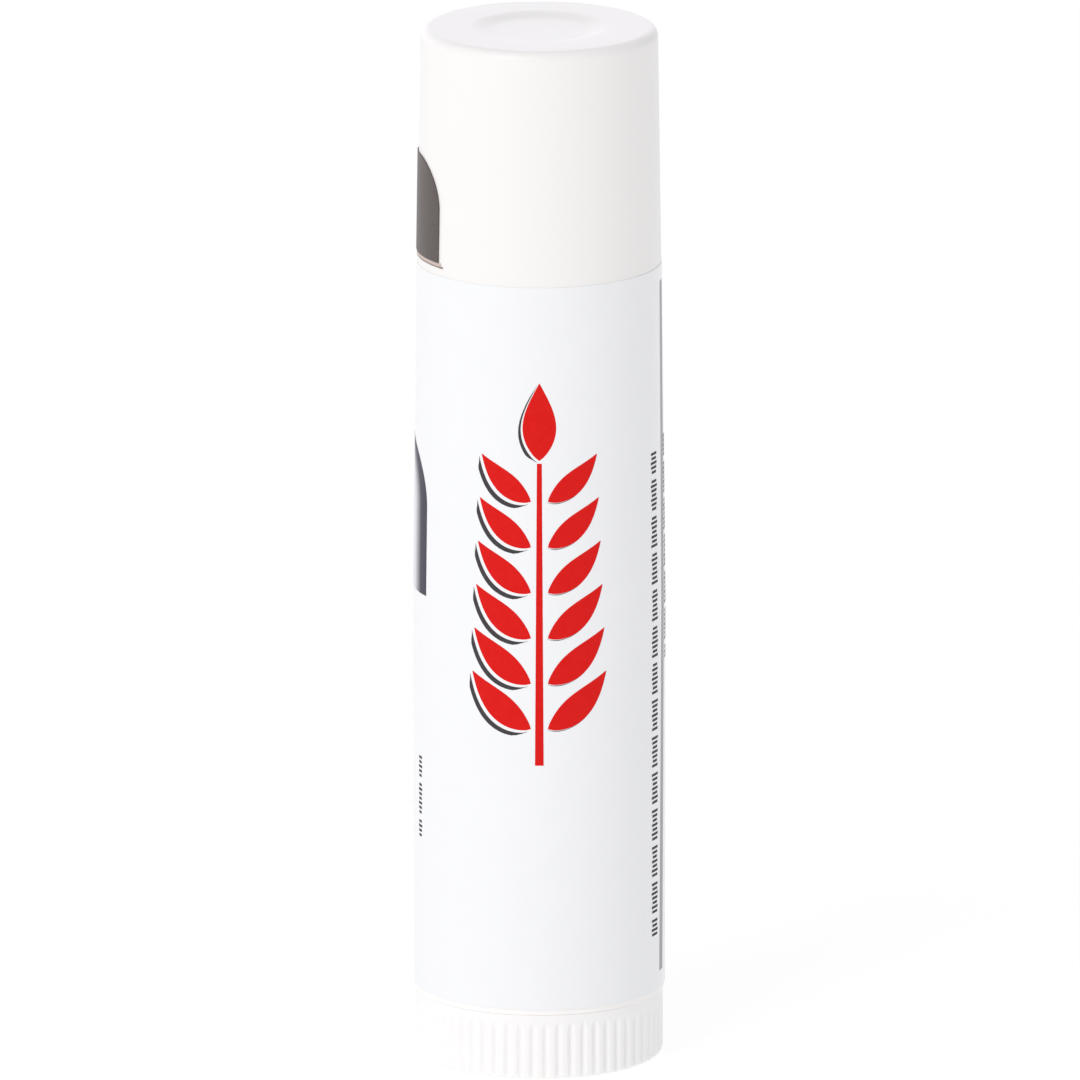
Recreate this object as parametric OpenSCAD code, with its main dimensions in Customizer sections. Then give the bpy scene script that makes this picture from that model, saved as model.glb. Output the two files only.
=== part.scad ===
// Twist-up lip balm stick: a ribbed dial turns a screw, the screw lifts a cup of balm in a
// tapered barrel, and a plain cap pushes on over the barrel's neck.
// Millimetres, +Z up, origin at the centre of the foot. The front faces -Y.

/* [Heights] */
// Height of the ribbed dial below its seam
dial_h = 4.2; // [3.6:0.1:7]
// Seam between the dial and the barrel
dial_gap = 0.1; // [0.05:0.05:0.3]
// Barrel height from the dial's seam up to the shoulder under the cap
barrel_h = 47.5; // [40:0.5:60]
// Seam between the barrel's shoulder and the cap
cap_gap = 0.08; // [0.04:0.02:0.2]
// Height of the cap
cap_h = 15.12; // [12:0.02:20]
// Thickness of the cap's top
cap_top_t = 1.1; // [0.9:0.05:2]
// Space between the barrel's mouth and the inside of the cap's top
mouth_gap = 1.2; // [0.6:0.1:2]

/* [Diameters] */
// Widest diameter, over the label on the barrel's straight lower part
body_d = 16.06; // [15:0.01:22]
// Height of that straight part, from the barrel's foot to where the taper starts
straight_h = 25.5; // [0:0.5:40]
// How much narrower the barrel is at its shoulder than at its foot
body_taper = 0.46; // [0:0.02:1]
// How much narrower the cap's rim is than the label above the shoulder
cap_step = 0.12; // [0:0.02:0.4]
// How much narrower the cap is at its top than at its rim
cap_taper = 0.44; // [0:0.02:0.8]
// How much narrower the dial is than the widest diameter
dial_step = 0.3; // [0.1:0.02:0.8]

/* [Walls] */
// Cap wall where it is thinnest
cap_wall = 0.62; // [0.5:0.02:0.9]
// Wall of the barrel's neck
neck_wall = 0.8; // [0.7:0.05:1]
// Thickness of the floor across the barrel's foot
floor_t = 1.4; // [1:0.1:2.5]
// Thickness of the label's film
label_t = 0.08; // [0.05:0.01:0.15]
// Bare strip of barrel below the label
label_low_margin = 0.35; // [0.2:0.05:1]
// Bare strip of barrel above the label
label_top_margin = 0.1; // [0.1:0.05:1]
// Gap between the label's two ends, at the back
label_slit = 0.5; // [0.2:0.1:1.5]

/* [Cap details] */
// Radius of the cap's rounded top edge
cap_edge_r = 0.6; // [0.3:0.05:1]
// Diameter of the dimple in the cap's top
dimple_d = 9; // [5:0.2:11]
// Width of the dimple's sloping side, seen from above
dimple_slope_w = 1.5; // [1:0.1:2.5]
// Depth of the dimple
dimple_depth = 0.24; // [0.1:0.02:0.6]
// Number of grip ribs inside the cap
grip_count = 6; // [3:1:12]
// Width of a grip rib
grip_w = 0.8; // [0.4:0.1:1.5]

/* [Neck] */
// Height of the bead round the neck that holds the cap
bead_h = 0.12; // [0.08:0.01:0.2]
// Width of that bead where it meets the neck
bead_w = 0.9; // [0.6:0.1:1.6]
// Height of the bead's middle above the shoulder
bead_rise = 2.6; // [1.6:0.1:4]

/* [Dial] */
// Number of ribs round the dial
rib_count = 60; // [36:2:80]
// Radius of the groove between two ribs, which is also its depth
groove_r = 0.17; // [0.1:0.01:0.2]
// Height of the plain band above the ribs
band_h = 0.55; // [0.3:0.05:1]
// Radius of the dial's rounded lower edge
dial_edge_r = 0.4; // [0.2:0.05:0.5]
// Height of the dial's spigot inside the barrel
spigot_h = 1.2; // [0.8:0.1:2]
// Width of the dial's outer wall, seen from below
dial_rim_w = 1.4; // [1:0.1:2]
// Diameter of the dial's hub, seen from below
hub_d = 7.2; // [6.6:0.1:8]

/* [Screw] */
// Diameter over the thread
thread_d = 4.6; // [4.2:0.1:5]
// Diameter of the screw's core
core_d = 3; // [2.4:0.1:3.4]
// Rise of the cup for one turn of the dial
lead = 3.75; // [3:0.25:5]
// Diameter of the journal that turns in the barrel's floor
journal_d = 5; // [4.8:0.1:5.4]
// Width across the flats of the hexagon pressed into the dial
drive_af = 4.2; // [3.6:0.1:4.3]
// How far the snap collar overlaps the floor round the journal's hole
snap_grip = 0.3; // [0.2:0.05:0.5]

/* [Cup and balm] */
// Height of the cup that carries the balm
cup_h = 7.5; // [6:0.5:12]
// Wall of the cup
cup_wall = 0.6; // [0.5:0.05:1]
// Thickness of the cup's floor
cup_floor_t = 0.8; // [0.6:0.1:1.5]
// Height of the cup's threaded hub
nut_h = 6.5; // [4:0.5:7]
// Wall of the threaded hub outside its thread
nut_wall = 0.85; // [0.6:0.05:1.2]
// Distance from the mouth down to the cup's rim at the top of its travel
rim_stop = 3.98; // [3:0.01:8]
// Distance from the mouth down to the top of the fresh balm
fill_gap = 1.9; // [1:0.1:2.4]
// Number of guide ribs in the bore that keep the cup from turning
guide_count = 2; // [2:1:4]
// Width of a guide rib
guide_w = 1.2; // [0.8:0.1:2]
// Height of a guide rib above the bore's wall
guide_h = 0.4; // [0.3:0.05:0.5]

/* [Clearances] */
// Radial gap between the neck's bead and the cap
cap_fit = 0.05; // [0.03:0.01:0.1]
// Radial gap between the neck and the cap's grip ribs
grip_fit = 0.07; // [0.05:0.01:0.08]
// Radial gap between the journal and the floor's hole
journal_fit = 0.05; // [0.02:0.01:0.1]
// Radial gap between the dial's spigot and the barrel
spigot_fit = 0.1; // [0.05:0.01:0.2]
// Gap above and below the barrel's floor at the spigot and at the snap collar
floor_play = 0.06; // [0.03:0.01:0.15]
// Gap round the hexagon in its socket
drive_fit = 0.02; // [0.01:0.01:0.05]
// Radial gap between the cup and the bore
cup_fit = 0.06; // [0.03:0.01:0.15]
// Gap between the thread and the hub's thread
thread_fit = 0.15; // [0.1:0.01:0.25]
// Gap round the guide ribs in the cup and the balm
guide_fit = 0.1; // [0.05:0.01:0.2]
// Gap between the balm and what it was poured against
pour_gap = 0.02; // [0.01:0.01:0.05]
// Radial gap between the balm and the bore
balm_fit = 0.08; // [0.05:0.01:0.15]
// Layer of glue under the films
glue_t = 0.01; // [0.01:0.01:0.03]

/* [Tamper tab] */
// Width of the tab
tab_w = 8; // [5:0.1:9]
// Height of the tab
tab_h = 6.4; // [5:0.1:9]
// Radius of the tab's rounded upper corners
tab_corner_r = 3.1; // [0.5:0.1:4]
// Height of the tab's lower edge above the cap's rim
tab_rise = 0.75; // [0.3:0.05:2]
// Angle from the front round to the tab's middle, towards the left
tab_side = 85; // [0:1:180]
// Thickness of the tab's film
tab_t = 0.08; // [0.05:0.01:0.15]

/* [Hidden] */
$fn = 96;
// Overlap that joins or cuts solids cleanly
bite = 0.5;
// Small chamfer on moulded edges
edge = 0.15;
// Steps in a rounded edge of a turned outline
arc_steps = 8;

// Heights of the seams and of the mouth
barrel_z = dial_h + dial_gap;
taper_z = barrel_z + min(straight_h, barrel_h - label_top_margin - bite);
shoulder_z = barrel_z + barrel_h;
cap_z = shoulder_z + cap_gap;
cap_top_z = cap_z + cap_h;
ceiling_z = cap_top_z - cap_top_t;
mouth_z = ceiling_z - mouth_gap;

// Radii from the outside in
barrel_r_low = body_d / 2 - label_t - glue_t;
barrel_r_top = barrel_r_low - body_taper / 2;
cap_r_low = barrel_r_top + label_t + glue_t - cap_step / 2;
cap_r_top = cap_r_low - cap_taper / 2;
cap_in_r = cap_r_top - cap_wall;
bead_r = cap_in_r - cap_fit;
neck_r = bead_r - bead_h;
grip_r = neck_r + grip_fit;
bore_r = neck_r - neck_wall;
dial_r = (body_d - dial_step) / 2;
recess_r = neck_r;
spigot_r = recess_r - spigot_fit;

// Floor of the barrel, and what passes through it
spigot_z = dial_h + spigot_h;
floor_z = spigot_z + floor_play;
floor_top_z = floor_z + floor_t;
journal_r = journal_d / 2;
hole_r = journal_r + journal_fit;
collar_r = hole_r + snap_grip;
collar_z = floor_top_z + floor_play;
collar_h = 0.5;
collar_cone_h = 0.5;
collar_top_z = collar_z + collar_h + collar_cone_h;
socket_floor_t = 1;
drive_end_gap = 0.1;

// Travel of the cup, the screw that serves it and the balm that it starts with
cup_rest_gap = 0.3;
cup_z = collar_top_z + cup_rest_gap;
cup_r = bore_r - cup_fit;
cup_in_r = cup_r - cup_wall;
travel = mouth_z - rim_stop - cup_h - cup_z;
thread_r = thread_d / 2;
core_r = core_d / 2;
nut_r = thread_r + thread_fit + nut_wall;
screw_spare = 0.4;
screw_top_z = cup_z + travel + nut_h + screw_spare;
balm_r = bore_r - balm_fit;
balm_z = cup_z + cup_floor_t + pour_gap;
balm_top_z = max(mouth_z - fill_gap, screw_top_z + 2 * screw_spare);
balm_edge_r = 0.8;
well_z = screw_top_z + screw_spare;

// Points per turn round the thread's section, and slices per turn along it
section_steps = 10;
turn_slices = 14;
// Half widths of the thread's crest and of its foot, in degrees of a turn
crest_half = 40;
foot_half = 80;

// Radius of the barrel's outside at a height, straight and then tapered, and of the cap's
function barrel_r(z) = barrel_r_low - body_taper / 2 * max(0, z - taper_z) / (shoulder_z - taper_z);
function cap_r(z) = cap_r_low + (cap_r_top - cap_r_low) * (z - cap_z) / cap_h;

// Points of an arc about a centre, from one angle to another
function arc(centre, radius, from, to) =
    [for (i = [0:arc_steps]) let (a = from + (to - from) * i / arc_steps)
        centre + radius * [cos(a), sin(a)]];

// Height of the dimpled top at a distance in from the dimple's rim, a half wave of a cosine
dimple_r = dimple_d / 2;
function top_at(inward) = cap_top_z - dimple_depth * (1 - cos(180 * inward / dimple_slope_w)) / 2;

// Thread section: a round core with one wide ridge, as radius against angle
function ridge(a) = min(1, max(0, (foot_half - abs(a - 180)) / (foot_half - crest_half)));
function thread_section(gap) =
    [for (i = [0:section_steps - 1]) let (a = 360 * i / section_steps)
        (core_r + (thread_r - core_r) * ridge(a) + gap) * [cos(a), sin(a)]];

// Left-hand screw between two heights, its angle tied to the height so that a cut matches it
module screw_thread(from, to, gap) {
    turns = (to - from) / lead;
    translate([0, 0, from])
        rotate([0, 0, -360 * from / lead])
            linear_extrude(height = to - from, twist = 360 * turns,
                           slices = ceil(turns * turn_slices), segments = section_steps)
                polygon(thread_section(gap));
}

// Guide ribs in the bore, or with a gap the slots that clear them
module guides(from, to, gap) {
    for (i = [0:guide_count - 1])
        rotate([0, 0, 360 * i / guide_count])
            translate([bore_r - guide_h - gap, -guide_w / 2 - gap, from])
                cube([guide_h + gap + bite, guide_w + 2 * gap, to - from]);
}

module barrel() color("white") {
    rotate_extrude()
        polygon([
            [hole_r, floor_z], [recess_r, floor_z], [recess_r, barrel_z],
            [barrel_r_low - edge, barrel_z], [barrel_r_low, barrel_z + edge],
            [barrel_r_low, taper_z], [barrel_r_top, shoulder_z - edge],
            [barrel_r_top - edge, shoulder_z],
            [neck_r, shoulder_z], [neck_r, shoulder_z + bead_rise - bead_w / 2],
            [bead_r, shoulder_z + bead_rise - bead_w / 6],
            [bead_r, shoulder_z + bead_rise + bead_w / 6],
            [neck_r, shoulder_z + bead_rise + bead_w / 2],
            [neck_r, mouth_z - edge], [neck_r - edge, mouth_z], [bore_r + edge, mouth_z],
            [bore_r, mouth_z - edge], [bore_r, floor_top_z], [hole_r, floor_top_z]
        ]);
    intersection() {
        guides(floor_top_z - edge, mouth_z - rim_stop, 0);
        translate([0, 0, floor_z])
            cylinder(r = bore_r + edge, h = mouth_z - floor_z);
    }
}

module label() color("aliceblue") {
    low = barrel_z + label_low_margin;
    top = shoulder_z - label_top_margin;
    bend = max(taper_z, low + bite);
    // Corners of the film's section: a height, and 0 on the glue or 1 on the outside
    corners = [[low, 0], [low, 1], [bend, 1], [top, 1], [top, 0], [bend, 0]];
    difference() {
        rotate_extrude()
            polygon([for (c = corners) [barrel_r(c[0]) + glue_t + label_t * c[1], c[0]]]);
        translate([-label_slit / 2, 0, low - bite])
            cube([label_slit, body_d, top - low + 2 * bite]);
    }
}

module dial() color("whitesmoke") {
    rim_in_r = dial_r - dial_rim_w;
    pocket_h = dial_h - socket_floor_t;
    difference() {
        rotate_extrude()
            polygon(concat(
                [[0, 0], [hub_d / 2, 0], [hub_d / 2, pocket_h], [rim_in_r, pocket_h], [rim_in_r, 0]],
                arc([dial_r - dial_edge_r, dial_edge_r], dial_edge_r, -90, 0),
                [[dial_r, dial_h - edge], [dial_r - edge, dial_h], [spigot_r, dial_h],
                 [spigot_r, spigot_z], [0, spigot_z]]
            ));
        for (i = [0:rib_count - 1])
            rotate([0, 0, 360 * (i + 0.5) / rib_count])
                translate([dial_r, 0, -bite])
                    cylinder(r = groove_r, h = dial_h - band_h + bite);
        translate([0, 0, socket_floor_t])
            cylinder(r = (drive_af / 2 + drive_fit) / cos(30), h = spigot_z, $fn = 6);
    }
}

module spindle() color("ivory") {
    drive_z = socket_floor_t + drive_end_gap;
    translate([0, 0, drive_z])
        cylinder(r = drive_af / 2 / cos(30), h = spigot_z + floor_play - drive_z, $fn = 6);
    translate([0, 0, floor_z])
        cylinder(r = journal_r, h = collar_z - floor_z);
    translate([0, 0, collar_z])
        cylinder(r = collar_r, h = collar_h);
    translate([0, 0, collar_z + collar_h])
        cylinder(r1 = collar_r, r2 = thread_r + edge, h = collar_cone_h);
    screw_thread(collar_z + collar_h, screw_top_z, 0);
}

module carrier_cup() color("ghostwhite") difference() {
    rotate_extrude()
        polygon([
            [0, cup_z], [cup_r - edge, cup_z], [cup_r, cup_z + edge], [cup_r, cup_z + cup_h],
            [cup_in_r, cup_z + cup_h], [cup_in_r, cup_z + cup_floor_t],
            [nut_r, cup_z + cup_floor_t], [nut_r, cup_z + nut_h], [0, cup_z + nut_h]
        ]);
    screw_thread(cup_z - bite, cup_z + nut_h + bite, thread_fit);
    guides(cup_z - bite, cup_z + cup_h + bite, guide_fit);
}

module balm() color("cornsilk") difference() {
    rotate_extrude()
        polygon(concat(
            [[nut_r + pour_gap, balm_z], [cup_in_r - pour_gap, balm_z],
             [cup_in_r - pour_gap, cup_z + cup_h + pour_gap], [balm_r, cup_z + cup_h + pour_gap]],
            arc([balm_r - balm_edge_r, balm_top_z - balm_edge_r], balm_edge_r, 0, 90),
            [[0, balm_top_z], [0, well_z], [thread_r + thread_fit, well_z],
             [thread_r + thread_fit, cup_z + nut_h + pour_gap], [nut_r + pour_gap, cup_z + nut_h + pour_gap]]
        ));
    guides(balm_z - bite, balm_top_z + bite, guide_fit + cup_fit);
}

module cap() color("white") {
    top_steps = 12;
    grip_z = shoulder_z + bead_rise + bead_w;
    rotate_extrude()
        polygon(concat(
            [[0, ceiling_z], [cap_in_r, ceiling_z], [cap_in_r, cap_z + edge], [cap_in_r + edge, cap_z],
             [cap_r_low - edge, cap_z], [cap_r_low, cap_z + edge]],
            arc([cap_r_top - cap_edge_r, cap_top_z - cap_edge_r], cap_edge_r, 0, 90),
            [for (i = [0:top_steps]) let (inward = dimple_slope_w * i / top_steps)
                [dimple_r - inward, top_at(inward)]],
            [[0, top_at(dimple_slope_w)]]
        ));
    for (i = [0:grip_count - 1])
        rotate([0, 0, 360 * (i + 0.5) / grip_count])
            translate([grip_r, -grip_w / 2, grip_z])
                cube([cap_in_r + edge - grip_r, grip_w, ceiling_z - grip_z + edge]);
}

module tamper_tab() color("dimgray") {
    low = cap_z + tab_rise;
    top = low + tab_h;
    half = tab_w / 2;
    corner = min(tab_corner_r, half - edge);
    intersection() {
        rotate_extrude()
            polygon([
                [cap_r(low) + glue_t, low], [cap_r(low) + glue_t + tab_t, low],
                [cap_r(top) + glue_t + tab_t, top], [cap_r(top) + glue_t, top]
            ]);
        rotate([0, 0, -tab_side])
            rotate([90, 0, 0])
                linear_extrude(height = body_d) {
                    translate([-half, low - bite])
                        square([tab_w, tab_h - corner + bite]);
                    translate([corner - half, low])
                        square([tab_w - 2 * corner, tab_h]);
                    for (side = [-1, 1])
                        translate([side * (half - corner), top - corner])
                            circle(r = corner);
                }
    }
}

barrel();
label();
dial();
spindle();
carrier_cup();
balm();
cap();
tamper_tab();
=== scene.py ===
"""Looks of a twist-up lip balm stick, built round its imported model.

Every surface is a function of two parameters on a grid, worked out in metres with +Z up, the
stick's axis on the Z axis and the front of the label facing -Y. Each sub-assembly is a class
that holds its sizes, builds its surfaces and dresses them.
"""

import logging
import math
from dataclasses import dataclass, replace
from enum import Enum
from typing import Sequence

import bpy
import numpy as np
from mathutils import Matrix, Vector


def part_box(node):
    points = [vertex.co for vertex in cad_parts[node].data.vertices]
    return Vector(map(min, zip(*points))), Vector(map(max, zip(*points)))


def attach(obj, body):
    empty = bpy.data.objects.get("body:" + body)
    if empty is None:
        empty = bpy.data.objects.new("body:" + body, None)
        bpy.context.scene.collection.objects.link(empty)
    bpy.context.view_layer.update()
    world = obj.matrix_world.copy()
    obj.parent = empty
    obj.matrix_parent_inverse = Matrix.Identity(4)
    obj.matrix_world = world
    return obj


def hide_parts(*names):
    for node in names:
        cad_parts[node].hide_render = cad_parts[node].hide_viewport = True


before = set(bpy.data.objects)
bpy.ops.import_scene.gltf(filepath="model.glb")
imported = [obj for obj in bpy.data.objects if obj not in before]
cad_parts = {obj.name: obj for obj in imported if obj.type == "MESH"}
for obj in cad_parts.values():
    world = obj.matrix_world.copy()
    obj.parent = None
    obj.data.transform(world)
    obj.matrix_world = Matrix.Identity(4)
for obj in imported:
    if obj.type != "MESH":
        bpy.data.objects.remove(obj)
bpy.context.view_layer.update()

Tree = bpy.types.NodeTree
Socket = bpy.types.NodeSocket
Grid = tuple[np.ndarray, np.ndarray]

log = logging.getLogger("lip_balm")

MM = 0.001
TURN = 2 * math.pi
# Points round the stick's axis, in multiples of which the turned surfaces are made
ROUND = 240
# A point nearer to the axis than this is on it, in metres
ON_AXIS = 1e-9
# A row within this distance of a bore's radius is on its wall, in millimetres
ON_WALL = 0.02
# Ink stands this far off the film, and is this thick, in millimetres
INK_LIFT = 0.002
INK_THICK = 0.008
# Guide ribs in the bore, which run in slots of the balm: their number, and their width, height
# and width of flank in millimetres
GUIDES = 2
GUIDE_W = 1.2
GUIDE_H = 0.4
GUIDE_FLANK = 0.12


class Body(Enum):
    """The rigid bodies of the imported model, by name."""

    BARREL = "barrel"
    DIAL = "dial"
    CARRIER = "carrier"
    CAP = "cap"


class Slot(Enum):
    """The record's material slots, by name."""

    BARREL = "barrel_plastic"
    DIAL = "dial_plastic"
    SCREW = "screw_plastic"
    BALM = "balm_wax"
    LABEL = "label_film"
    CAP = "cap_plastic"
    TAB = "tab_film"


# Colour and nodes


def linear(hex_colour: str) -> tuple[float, float, float, float]:
    """Turns an sRGB hex colour to linear red, green, blue and alpha.

    Args:
        hex_colour: six hex digits, such as "f4f2ef".

    Returns:
        The linear colour, with alpha 1.
    """
    channels = [int(hex_colour[i:i + 2], 16) / 255 for i in (0, 2, 4)]
    red, green, blue = (c / 12.92 if c <= 0.04045 else ((c + 0.055) / 1.055) ** 2.4 for c in channels)
    return red, green, blue, 1.0


def add_node(tree: Tree, kind: str, links: dict | None = None, **settings: object) -> bpy.types.Node:
    """Adds one node to a tree, sets its properties, and sets or links its inputs.

    Args:
        tree: the node tree.
        kind: the node's type name, such as "ShaderNodeTexNoise".
        links: from an input's name or number to a value, or to the output socket that feeds it.
        settings: properties of the node itself.

    Returns:
        The new node.
    """
    node = tree.nodes.new(kind)
    for name, value in settings.items():
        setattr(node, name, value)
    for key, value in (links or {}).items():
        if isinstance(value, Socket):
            tree.links.new(value, node.inputs[key])
        else:
            node.inputs[key].default_value = value
    return node


def new_material(name: str) -> tuple[bpy.types.Material, Tree]:
    """Makes an empty node material.

    Args:
        name: the material's name.

    Returns:
        The material and its node tree.
    """
    material = bpy.data.materials.new(name)
    material.use_nodes = True
    material.node_tree.nodes.clear()
    return material, material.node_tree


# Finishes


@dataclass(frozen=True)
class Finish:
    """What a piece is made of, as a node material whose patterns keep their place on the piece.

    A pattern is a noise, given by its size in millimetres, its detail and its roughness. The
    first one shifts the tone from the colour to the shade, the last one shifts the gloss, and
    those from relief_from on add up to the relief.
    """

    name: str
    colour: str
    shade: str
    roughness: float = 0.4
    swing: tuple[float, float] = (-0.05, 0.05)
    ior: float = 1.5
    patterns: tuple[tuple[float, float, float], ...] = ()
    relief_from: int = 0
    relief_mm: float = 0.0
    coat: float = 0.0
    coat_roughness: float = 0.25
    translucence: float = 0.0
    scatter_mm: float = 0.9
    scatter_tint: tuple[float, float, float] = (1.0, 0.9, 0.8)

    def inputs(self, tree: Tree, place: Socket) -> dict:
        """Adds the nodes of the finish's patterns.

        Args:
            tree: the material's node tree.
            place: the place on the piece.

        Returns:
            The shader's inputs by name.
        """
        noises = []
        for size_mm, detail, rough in self.patterns:
            noise = add_node(tree, "ShaderNodeTexNoise", {
                "Vector": place, "Scale": 1 / (size_mm * MM), "Detail": detail, "Roughness": rough})
            noises.append(noise.outputs["Fac"])
        tone = add_node(tree, "ShaderNodeMix", {
            0: noises[0], 6: linear(self.colour), 7: linear(self.shade)}, data_type="RGBA")
        gloss = add_node(tree, "ShaderNodeMapRange", {
            "Value": noises[-1], "To Min": self.roughness + self.swing[0],
            "To Max": self.roughness + self.swing[1]})
        height, *others = noises[self.relief_from:]
        for other in others:
            both = add_node(tree, "ShaderNodeMath", {0: height, 1: other}, operation="ADD")
            height = both.outputs["Value"]
        bump = add_node(tree, "ShaderNodeBump", {
            "Height": height, "Strength": 1.0, "Distance": self.relief_mm * MM})
        return {
            "Base Color": tone.outputs[2], "Roughness": gloss.outputs["Result"], "IOR": self.ior,
            "Coat Weight": self.coat, "Coat Roughness": self.coat_roughness,
            "Subsurface Weight": self.translucence, "Subsurface Radius": self.scatter_tint,
            "Subsurface Scale": self.scatter_mm * MM, "Normal": bump.outputs["Normal"]}

    def material(self) -> bpy.types.Material:
        """Builds the node material.

        Returns:
            The material.
        """
        material, tree = new_material(self.name)
        place = add_node(tree, "ShaderNodeTexCoord").outputs["Object"]
        shader = add_node(tree, "ShaderNodeBsdfPrincipled", self.inputs(tree, place))
        add_node(tree, "ShaderNodeOutputMaterial", {"Surface": shader.outputs["BSDF"]})
        return material


@dataclass(frozen=True)
class MouldedPlastic(Finish):
    """Injection-moulded polypropylene or a like plastic: satin, faintly translucent where it holds
    no pigment, with the fine spark-eroded grain of its mould and slow shifts of tone where the melt
    flowed.

    The real grain is about 0.03 mm and wouldn't show, so it is drawn larger.
    """

    roughness: float = 0.38
    ior: float = 1.49
    patterns: tuple[tuple[float, float, float], ...] = ((9.0, 2.0, 0.5), (0.16, 3.0, 0.6))
    relief_from: int = 1
    relief_mm: float = 0.0012


@dataclass(frozen=True)
class LabelFilm(Finish):
    """White polypropylene film, calendered and wound on by machine: a cool white with a soft gloss,
    and the faint orange peel of the glue under it."""

    roughness: float = 0.3
    swing: tuple[float, float] = (-0.03, 0.03)
    patterns: tuple[tuple[float, float, float], ...] = ((1.6, 1.5, 0.45),)
    relief_mm: float = 0.004
    coat: float = 0.15


@dataclass(frozen=True)
class PrintedInk(Finish):
    """Flexographic ink on film: an even colour whose fine mottle is the ink's own coverage, down to
    the shade where it lies thin.

    The real screen is about 0.15 mm, and the mottle is drawn at mottle_mm.
    """

    roughness: float = 0.42
    ior: float = 1.45
    sheen: float = 0.2
    mottle_mm: float = 0.35

    def tone(self, tree: Tree, place: Socket) -> Socket:
        """Adds the nodes of the ink's colour.

        Args:
            tree: the material's node tree.
            place: the place on the piece.

        Returns:
            The colour's socket.
        """
        mottle = add_node(tree, "ShaderNodeTexNoise", {
            "Vector": place, "Scale": 1 / (self.mottle_mm * MM), "Detail": 3.0, "Roughness": 0.65})
        cover = add_node(tree, "ShaderNodeMapRange", {
            "Value": mottle.outputs["Fac"], "From Min": 0.35, "From Max": 0.85})
        tone = add_node(tree, "ShaderNodeMix", {
            0: cover.outputs["Result"], 6: linear(self.colour), 7: linear(self.shade)}, data_type="RGBA")
        return tone.outputs[2]

    def inputs(self, tree: Tree, place: Socket) -> dict:
        """The shader's inputs by name: the ink's tone, and an even, low gloss."""
        return {"Base Color": self.tone(tree, place), "Roughness": self.roughness, "IOR": self.ior,
                "Specular IOR Level": self.sheen}


@dataclass(frozen=True)
class InkWithPaintedGlare(PrintedInk):
    """The same ink on an arched panel on the stick's side: a full tone along the panel's front edge,
    going over behind it to a pale tone, which is painted reflection: the glare of the film where it
    turns away from view.

    The tone's arch has its centre behind the panel's own and meets the panel at its front edge.
    With y and z counted from that centre, a place lies reach - sqrt(y^2 + max(z, 0)^2) inside it.
    The tone is full up to full_mm inside the arch and pale from pale_mm on.
    """

    # Painted glare: the pale tone behind the panel's front edge
    pale: str = "dfe0e5"
    reach_mm: float = 4.0
    centre_y_mm: float = 0.0
    centre_z_mm: float = 0.0
    full_mm: float = 0.8
    pale_mm: float = 2.1

    def tone(self, tree: Tree, place: Socket) -> Socket:
        """Adds the nodes of the ink's colour, from the full tone to the pale one.

        Args:
            tree: the material's node tree.
            place: the place on the piece.

        Returns:
            The colour's socket.
        """
        parts = add_node(tree, "ShaderNodeSeparateXYZ", {0: place})
        y = add_node(tree, "ShaderNodeMath", {
            0: parts.outputs["Y"], 1: self.centre_y_mm * MM}, operation="SUBTRACT")
        z = add_node(tree, "ShaderNodeMath", {
            0: parts.outputs["Z"], 1: self.centre_z_mm * MM}, operation="SUBTRACT")
        rise = add_node(tree, "ShaderNodeMath", {0: z.outputs["Value"], 1: 0.0}, operation="MAXIMUM")
        spoke = add_node(tree, "ShaderNodeCombineXYZ", {0: y.outputs["Value"], 1: rise.outputs["Value"]})
        length = add_node(tree, "ShaderNodeVectorMath", {0: spoke.outputs["Vector"]}, operation="LENGTH")
        inside = add_node(tree, "ShaderNodeMath", {
            0: self.reach_mm * MM, 1: length.outputs["Value"]}, operation="SUBTRACT")
        full = add_node(tree, "ShaderNodeMapRange", {
            "Value": inside.outputs["Value"], "From Min": self.pale_mm * MM, "From Max": self.full_mm * MM})
        # Away from the front edge the tone goes over to the pale one, as painted glare
        tone = add_node(tree, "ShaderNodeMix", {
            0: full.outputs["Result"], 6: linear(self.pale), 7: super().tone(tree, place)},
            data_type="RGBA")
        return tone.outputs[2]


@dataclass(frozen=True)
class PouredWax(Finish):
    """Beeswax and oil, poured hot and set: pale cream, softly translucent, with the slow waves and
    tiny pits of a cooled surface."""

    swing: tuple[float, float] = (-0.08, 0.12)
    ior: float = 1.44
    patterns: tuple[tuple[float, float, float], ...] = ((2.4, 3.0, 0.5), (0.3, 2.0, 0.5))
    relief_mm: float = 0.012
    translucence: float = 0.45
    scatter_mm: float = 1.2
    scatter_tint: tuple[float, float, float] = (1.0, 0.75, 0.45)


CAP_PLASTIC = MouldedPlastic("cap_polypropylene", "f4f3f1", "f2f1ef")
# The barrel's plastic is a lighter copy of the cap's, painted light that lifts the strip shaded under the
# label's lower edge
BARREL_PLASTIC = MouldedPlastic("barrel_polypropylene", "faf8f6", "f8f6f4")
# The dial's plastic is a lighter copy of the cap's, painted light for the bounce from the white floor below
# it
DIAL_PLASTIC = MouldedPlastic("dial_polypropylene", "f8f7f6", "f5f4f3")
SCREW_PLASTIC = MouldedPlastic(
    "screw_acetal", "ecebe4", "e4e2d8", roughness=0.3, ior=1.48, translucence=0.3)
CUP_PLASTIC = MouldedPlastic(
    "cup_polyethylene", "efeee8", "e8e6de", roughness=0.42, ior=1.51, translucence=0.3)
LABEL_WHITE = LabelFilm("label_white_film", "f2f3f4", "f0f1f3")
BALM_WAX = PouredWax("balm_wax", "f3ecd6", "ece2c6")
RED_INK = PrintedInk("ink_red", "d90804", "dc1610")
SHADE_INK = PrintedInk("ink_slate", "3f3b3e", "474447")
# The panel's pale tone behind its front edge is painted glare
PANEL_INK = InkWithPaintedGlare("ink_violet_grey", "3c3848", "443f50")
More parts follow.
